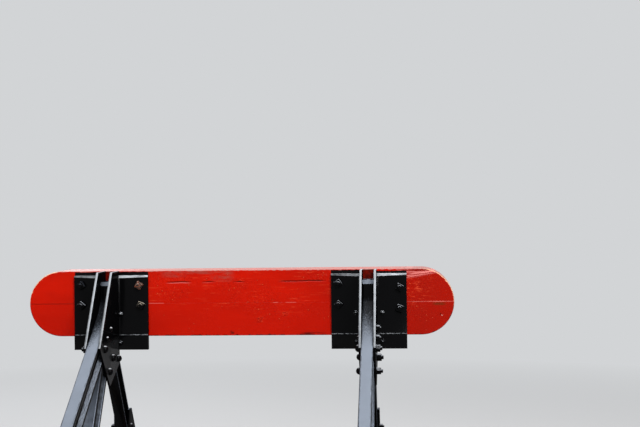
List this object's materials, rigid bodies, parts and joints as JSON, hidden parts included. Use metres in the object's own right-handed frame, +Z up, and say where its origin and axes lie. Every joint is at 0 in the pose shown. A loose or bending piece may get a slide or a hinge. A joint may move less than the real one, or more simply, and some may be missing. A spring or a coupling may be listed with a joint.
{
  "type": "railway buffer stop",
  "caption": "Rail-built railway buffer stop: a red timber beam with half-round ends on black braced frames of bent rail, standing on base rails and timber sleepers.",
  "frame": {"origin": "middle of the underside of the stop, at the bottom faces of the sleepers", "axes": "+X across the track to the right as seen from behind the stop, +Y along the track towards the train, +Z up"},
  "size_m": [2.591, 2.743, 1.5503],
  "materials": {
    "red_paint": "gloss red paint over timber",
    "black_paint": "gloss black paint over steel",
    "rail_steel": "rusted rolled steel",
    "cast_plate": "rusted cast iron",
    "sleeper_timber": "weathered softwood"
  },
  "bodies": {
    "root": {"buffer_beam": "red_paint", "front_sleeper": "sleeper_timber", "left_back_strut": "black_paint", "left_base_rail": "rail_steel", "left_front_foot_plates": "black_paint", "left_front_leg": "black_paint", "left_inner_bracket": "black_paint", "left_outer_bracket": "black_paint", "left_rail_plates": "cast_plate", "left_rear_foot_plates": "black_paint", "left_rear_leg": "black_paint", "left_strut_foot_plates": "black_paint", "rear_sleeper": "sleeper_timber", "right_back_strut": "black_paint", "right_base_rail": "rail_steel", "right_front_foot_plates": "black_paint", "right_front_leg": "black_paint", "right_inner_bracket": "black_paint", "right_outer_bracket": "black_paint", "right_rail_plates": "cast_plate", "right_rear_foot_plates": "black_paint", "right_rear_leg": "black_paint", "right_strut_foot_plates": "black_paint", "second_sleeper": "sleeper_timber", "third_sleeper": "sleeper_timber"}
  },
  "joints": []
}
